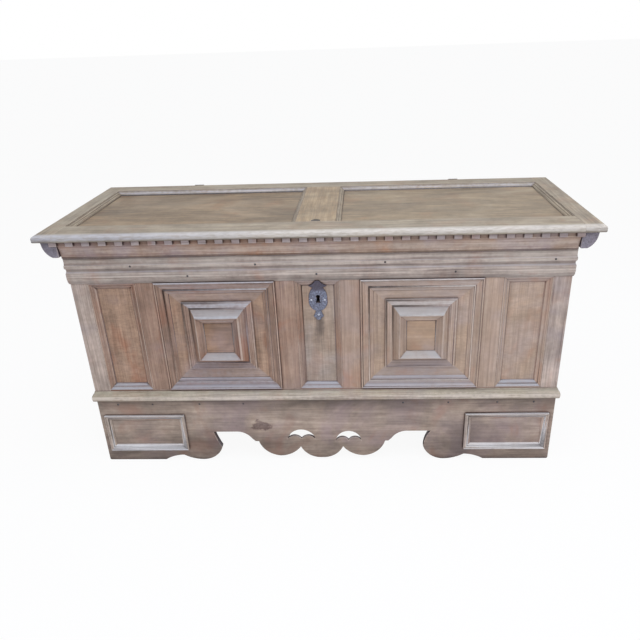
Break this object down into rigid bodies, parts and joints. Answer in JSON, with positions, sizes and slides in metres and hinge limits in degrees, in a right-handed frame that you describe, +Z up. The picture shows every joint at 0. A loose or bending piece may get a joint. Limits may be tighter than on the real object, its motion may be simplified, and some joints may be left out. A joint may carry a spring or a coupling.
{
  "type": "cassone chest",
  "caption": "Panelled wooden chest with a hinged lid, geometric raised bosses, mitred mouldings, a dentil course, a scalloped plinth, an iron keyhole plate and a working lock bolt.",
  "frame": {"origin": "on the floor under the middle of the whole object", "axes": "+X along the chest to the right as seen from the front, +Y from the front to the back, +Z up"},
  "size_m": [1.7, 0.679, 0.866],
  "materials": {
    "frame_wood": "worn, low gloss",
    "panel_wood": "worn, low gloss",
    "moulding_wood": "worn, low gloss",
    "lid_wood": "dry, bleached",
    "plinth_wood": "worn, matt",
    "inner_wood": "rough, unfinished",
    "iron": "dark wrought iron, matt"
  },
  "bodies": {
    "case": {"back_boards": "inner_wood", "back_rails": "inner_wood", "base_moulding_front": "moulding_wood", "base_moulding_left": "moulding_wood", "base_moulding_right": "moulding_wood", "bearers": "inner_wood", "boss_fields": "panel_wood", "boss_moulding_left": "moulding_wood", "boss_moulding_right": "moulding_wood", "case_nails": "iron", "centre_moulding": "moulding_wood", "centre_panel": "panel_wood", "corner_blocks": "inner_wood", "escutcheon": "iron", "escutcheon_nails": "iron", "floor_boards": "inner_wood", "foot_frame_left": "plinth_wood", "foot_frame_right": "plinth_wood", "frieze_front": "moulding_wood", "frieze_left": "moulding_wood", "frieze_right": "moulding_wood", "front_bottom_rail": "frame_wood", "front_muntins": "frame_wood", "front_posts": "frame_wood", "front_top_rail": "frame_wood", "hinge_case_leaves": "iron", "hinge_nails": "iron", "hinge_pins": "iron", "large_moulding_left": "moulding_wood", "large_moulding_right": "moulding_wood", "large_panel_left": "panel_wood", "large_panel_right": "panel_wood", "lock_case": "iron", "lock_nails": "iron", "narrow_mouldings": "moulding_wood", "narrow_panels": "panel_wood", "plinth_back": "plinth_wood", "plinth_front": "plinth_wood", "plinth_left": "plinth_wood", "plinth_right": "plinth_wood", "rear_posts": "inner_wood", "side_mouldings": "moulding_wood", "side_panels": "panel_wood", "side_rails": "frame_wood", "step_moulding_left": "moulding_wood", "step_moulding_right": "moulding_wood"},
    "lid": {"hinge_lid_leaves": "iron", "lid_catch": "iron", "lid_cleats": "lid_wood", "lid_dentils": "lid_wood", "lid_end_left": "lid_wood", "lid_end_right": "lid_wood", "lid_front_rail": "lid_wood", "lid_mouldings": "lid_wood", "lid_muntin": "lid_wood", "lid_panels": "lid_wood", "lid_rear_rail": "lid_wood", "lid_skirt": "lid_wood"},
    "bolt": {"lock_bolt": "iron"}
  },
  "joints": [
    {"name": "lid_hinge", "type": "hinge", "parent": "case", "child": "lid", "pos_m": [0, 0.3315, 0.8565], "axis": [-1, 0, 0], "range_deg": [0, 100]},
    {"name": "bolt_slide", "type": "slide", "parent": "case", "child": "bolt", "axis": [1, 0, 0], "range_m": [0, 0.018]}
  ]
}
